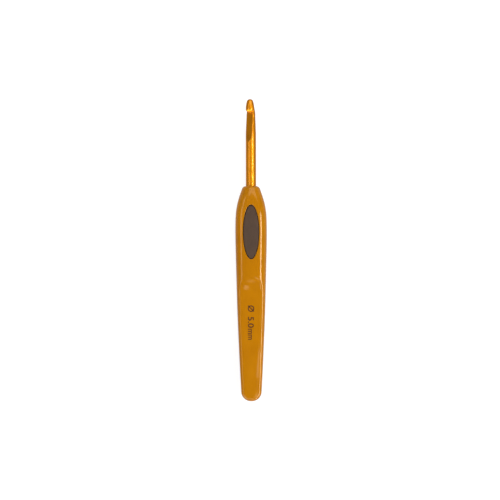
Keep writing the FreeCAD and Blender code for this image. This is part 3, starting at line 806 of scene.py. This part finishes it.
def ochre_plastic():
    n = Nodes("ochre_plastic")
    cloud = n.noise(n.place, 110, 4)
    flow = n.noise(n.stretched(1, 0.22, 1), 420, 3)
    fine = n.noise(n.place, 2600, 3, 0.6)
    scratches = n.noise(n.stretched(1, 0.05, 1), 2800, 2, 0.4)
    tone = n.math("ADD", n.ramp(cloud, 0, 0.7, 0.3, 0.7), n.ramp(flow, 0, 0.3, 0.3, 0.7))
    n.set(Base_Color=n.mix(tone, (0.345, 0.123, 0.0003), (0.396, 0.147, 0.0006)))
    worn = n.ramp(scratches, 0.0, 0.06, 0.56, 0.72)
    rough = n.math("ADD", n.ramp(cloud, 0.07, 0.11, 0.3, 0.7), worn)
    n.set(Roughness=n.math("ADD", rough, n.ramp(fine, 0.0, 0.02)))
    n.set(IOR=1.5, Specular_Tint=(1.0, 0.78, 0.5))
    n.set(Normal=n.bump(fine, 0.10, 0.00002, n.bump(flow, 0.10, 0.00006)))
    return n.material


def elastomer():
    n = Nodes("soft_elastomer")
    cloud = n.noise(n.place, 160, 4)
    grain = n.noise(n.place, 3800, 2, 0.6)
    pits = n.noise(n.place, 1500, 3, 0.6)
    tone = n.math("ADD", n.ramp(cloud, 0, 0.6, 0.3, 0.7), n.ramp(grain, 0, 0.4, 0.35, 0.65))
    n.set(Base_Color=n.mix(tone, (0.029, 0.012, 0.005), (0.048, 0.023, 0.011)))
    n.set(Roughness=n.math("ADD", n.ramp(grain, 0.62, 0.78), n.ramp(cloud, -0.05, 0.05)))
    n.set(Sheen_Weight=0.12, Sheen_Roughness=0.5, Specular_Tint=(1.0, 0.88, 0.76))
    n.set(Normal=n.bump(grain, 0.45, 0.00006, n.bump(pits, 0.25, 0.0001)))
    return n.material


def core_plastic():
    n = Nodes("core_plastic")
    cloud = n.noise(n.place, 150, 3)
    grain = n.noise(n.place, 2500, 2)
    n.set(Base_Color=n.mix(cloud, (0.16, 0.15, 0.14), (0.22, 0.20, 0.19)))
    n.set(Roughness=n.ramp(grain, 0.5, 0.7))
    n.set(Normal=n.bump(grain, 0.3, 0.00004))
    return n.material


def printed_ink():
    n = Nodes("printed_ink")
    speckle = n.noise(n.place, 5200, 3, 0.6)
    patch = n.noise(n.place, 900, 3)
    tone = n.ramp(patch, 0, 1, 0.3, 0.7)
    n.set(Base_Color=n.mix(tone, (0.022, 0.006, 0.004), (0.040, 0.011, 0.006)))
    n.set(Roughness=n.ramp(speckle, 0.35, 0.6), Specular_Tint=(1.0, 0.6, 0.3))
    n.set(Normal=n.bump(speckle, 0.2, 0.00001))
    return n.material


# ---------------------------------------------------------------- pieces


def add_piece(piece, material, node):
    """Rides a piece on the fixed body in place of a CAD node."""
    piece.data.materials.append(material)
    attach(piece, "root")
    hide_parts(node)


plastic = ochre_plastic()
rubber = elastomer()
add_piece(make_shaft("gold_shaft"), anodised(), "hook_shaft")
add_piece(make_shell("handle_front", 1), plastic, "front_shell")
add_piece(make_shell("handle_back", -1), plastic, "back_shell")
add_piece(make_inlay("grip_front", 1), rubber, "front_grip_inlay")
add_piece(make_inlay("grip_back", -1), rubber, "back_grip_inlay")

mark = make_mark("size_mark")
mark.data.materials.append(printed_ink())
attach(mark, "root")

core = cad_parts["tang_core"]
core_material = core_plastic()
for holder in core.material_slots:
    holder.material = core_material

# ---------------------------------------------------------------- floor, light and camera


FLOOR_REACH = 3.0
FLOOR_DROP = 0.00002
WORLD_BELOW, WORLD_ABOVE = 0.5, 0.13  # brightness under and over the horizon
HORIZON_LOW, HORIZON_HIGH = -0.3, 0.2
FRAME_WIDTH = 0.2459
FRAME_LEVEL = 0.006  # height above the floor at which the picture is FRAME_WIDTH wide
CAMERA_X, CAMERA_Y, CAMERA_ROLL = -0.00055, 0.0001, -0.13


def make_floor():
    far = FLOOR_REACH
    corners = [(-far, -far, 0), (far, -far, 0), (far, far, 0), (-far, far, 0)]
    mesh = bpy.data.meshes.new("floor")
    mesh.from_pydata(corners, [], [(0, 1, 2, 3)])
    floor = bpy.data.objects.new("floor", mesh)
    bpy.context.scene.collection.objects.link(floor)
    n = Nodes("pale_floor")
    cloud = n.noise(n.place, 8, 3)
    n.set(Base_Color=n.mix(cloud, (0.24, 0.24, 0.24), (0.26, 0.26, 0.26)))
    n.set(Roughness=0.9, Emission_Color=(1.0, 1.0, 1.0), Emission_Strength=0.8)
    floor.data.materials.append(n.material)
    floor.visible_glossy = False
    floor.location.z = -FLOOR_DROP


def softbox(name, angle, tilt, width, length, radiance, glossy=True, diffuse=True):
    """A rectangular light a metre away: angle to the right of overhead, tilt towards the tail."""
    data = bpy.data.lights.new(name, "AREA")
    data.shape = "RECTANGLE"
    data.size = width
    data.size_y = length
    data.energy = radiance * width * length * math.pi
    lamp = bpy.data.objects.new(name, data)
    a, t = math.radians(angle), math.radians(tilt)
    away = Vector((math.sin(a) * math.cos(t), -math.sin(t), math.cos(a) * math.cos(t)))
    lamp.location = away
    lamp.visible_glossy = glossy
    lamp.visible_diffuse = diffuse
    across = Vector((0, 1, 0)).cross(away).normalized()
    axes = Matrix((across, away.cross(across), away)).transposed()
    lamp.rotation_euler = axes.to_euler()
    bpy.context.scene.collection.objects.link(lamp)


def make_world():
    world = bpy.data.worlds.new("studio")
    world.use_nodes = True
    tree = world.node_tree
    place = tree.nodes.new("ShaderNodeTexCoord")
    split = tree.nodes.new("ShaderNodeSeparateXYZ")
    ramp = tree.nodes.new("ShaderNodeMapRange")
    ramp.interpolation_type = "SMOOTHSTEP"
    ramp.inputs["From Min"].default_value = HORIZON_LOW
    ramp.inputs["From Max"].default_value = HORIZON_HIGH
    ramp.inputs["To Min"].default_value = WORLD_BELOW
    ramp.inputs["To Max"].default_value = WORLD_ABOVE
    tree.links.new(place.outputs["Generated"], split.inputs[0])
    tree.links.new(split.outputs["Z"], ramp.inputs["Value"])
    tree.links.new(ramp.outputs["Result"], tree.nodes["Background"].inputs["Strength"])
    tree.nodes["Background"].inputs["Color"].default_value = (1, 1, 1, 1)
    bpy.context.scene.world = world


def make_camera():
    data = bpy.data.cameras.new("camera")
    data.lens = 400
    data.sensor_width = 36
    distance = FRAME_WIDTH * data.lens / data.sensor_width
    data.clip_start, data.clip_end = 0.1, 20
    camera = bpy.data.objects.new("camera", data)
    camera.location = (CAMERA_X, CAMERA_Y, distance + FRAME_LEVEL)
    camera.rotation_euler = (0, 0, math.radians(CAMERA_ROLL))
    bpy.context.scene.collection.objects.link(camera)
    bpy.context.scene.camera = camera


make_floor()
make_world()
softbox("key", 42, 25, 0.2, 1.3, 14.0)
softbox("fill", -42, 15, 0.22, 1.6, 2.7)
softbox("front", 12, -42, 1.1, 0.7, 1.9)
softbox("corner", -42, 45, 0.5, 0.3, 6.0, diffuse=False)  # seen in the tail's left corner
softbox("low", -84, 38, 0.36, 0.4, 8.0, diffuse=False)  # seen behind the hook's lip
softbox("fleck", 10, 20, 0.2, 0.25, 3.0, diffuse=False)  # seen on the left of the rest's ramp
softbox("crest", -4, 46, 0.5, 0.3, 1.6, diffuse=False)  # seen along the top of the ramp
softbox("tail", 0, 72, 1.0, 0.3, 2.6)
softbox("ceiling", -40, -45, 1.6, 1.6, 1.05, glossy=False)
make_camera()
bpy.context.scene.view_settings.view_transform = "Standard"
